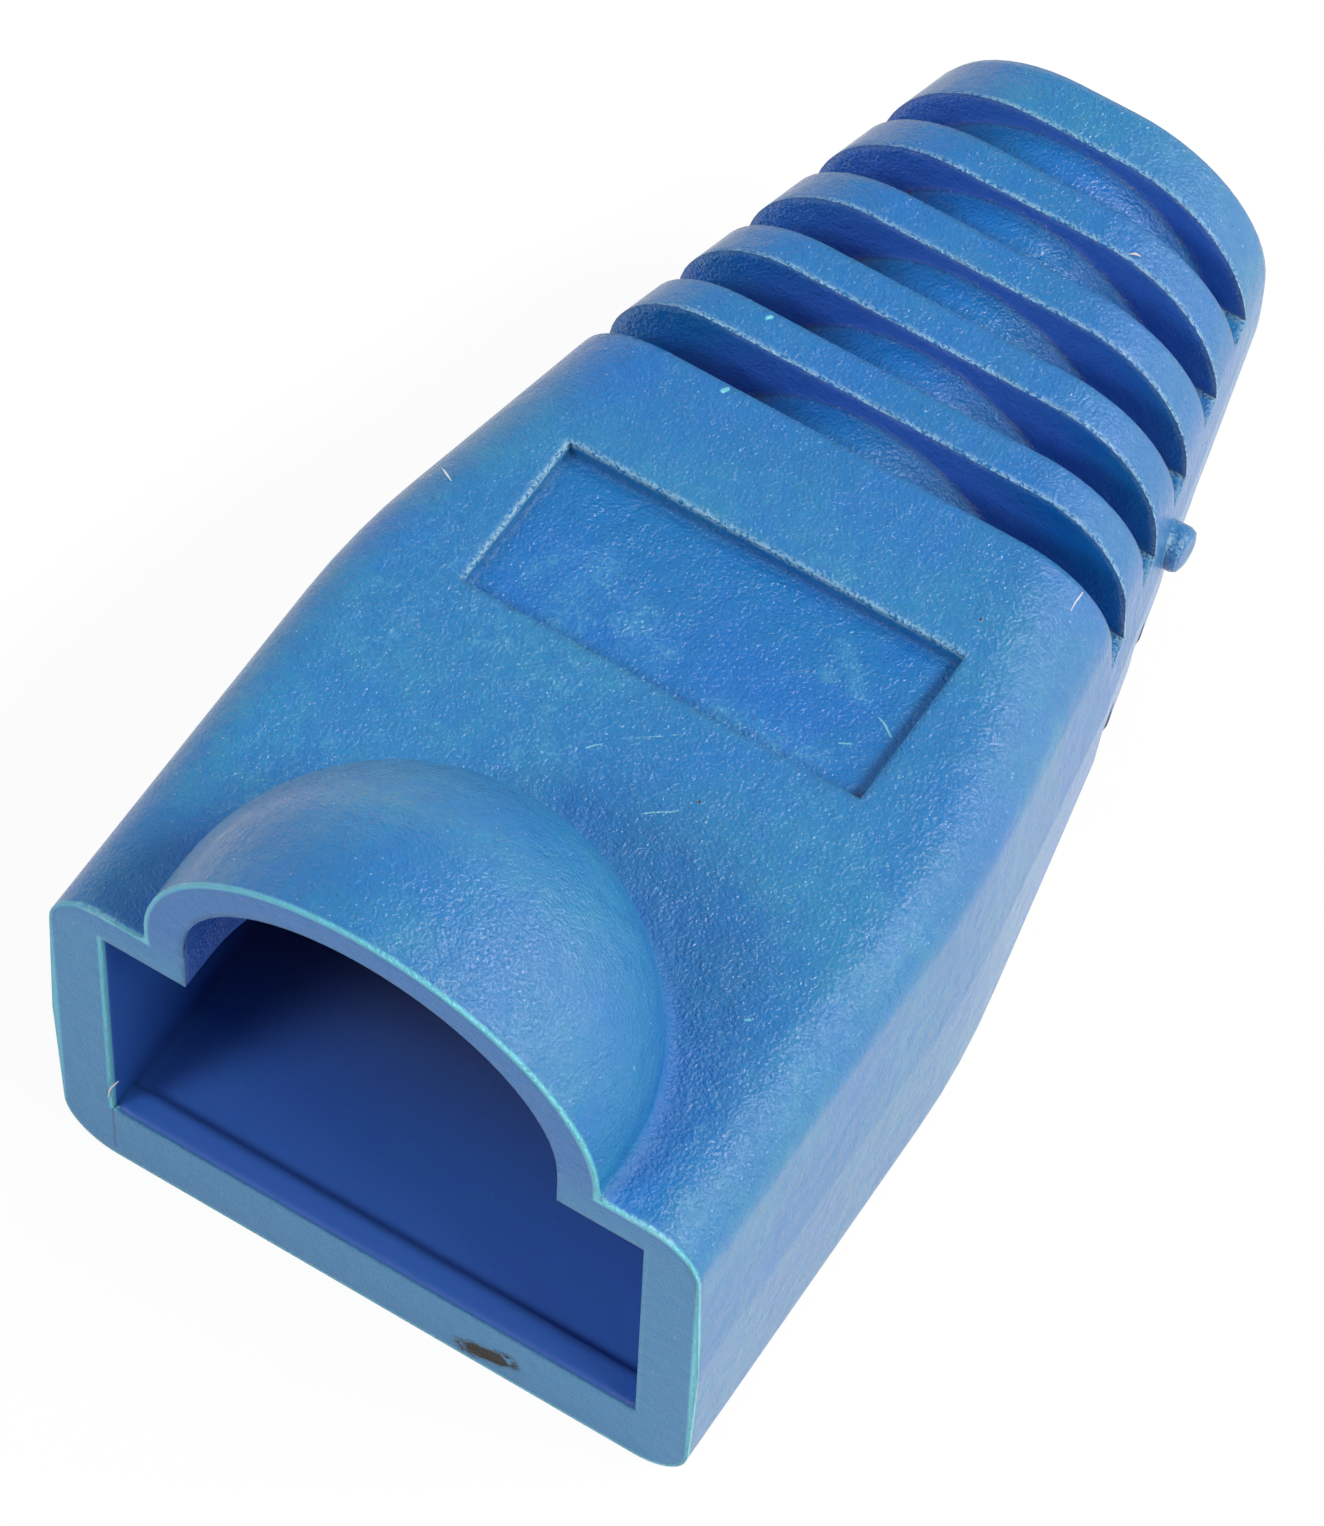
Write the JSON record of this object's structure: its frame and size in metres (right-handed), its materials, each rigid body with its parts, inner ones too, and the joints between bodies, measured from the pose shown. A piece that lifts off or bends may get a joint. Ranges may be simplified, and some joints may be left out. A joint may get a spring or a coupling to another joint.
{
  "type": "rj45 strain relief boot",
  "caption": "Soft slip-on boot for a modular network plug: square hood with a domed latch cover and a slotted, flexible neck round the cable.",
  "frame": {"origin": "middle of the cable hole at the end face of the neck", "axes": "+Y along the cable hole, the way the cable leaves; +Z towards the side with the latch cover; +X across the boot"},
  "size_m": [0.0144, 0.0272, 0.0146],
  "materials": {
    "soft_pvc": "satin flexible PVC, moulded in blue"
  },
  "bodies": {
    "root": {"boot": "soft_pvc"}
  },
  "joints": []
}
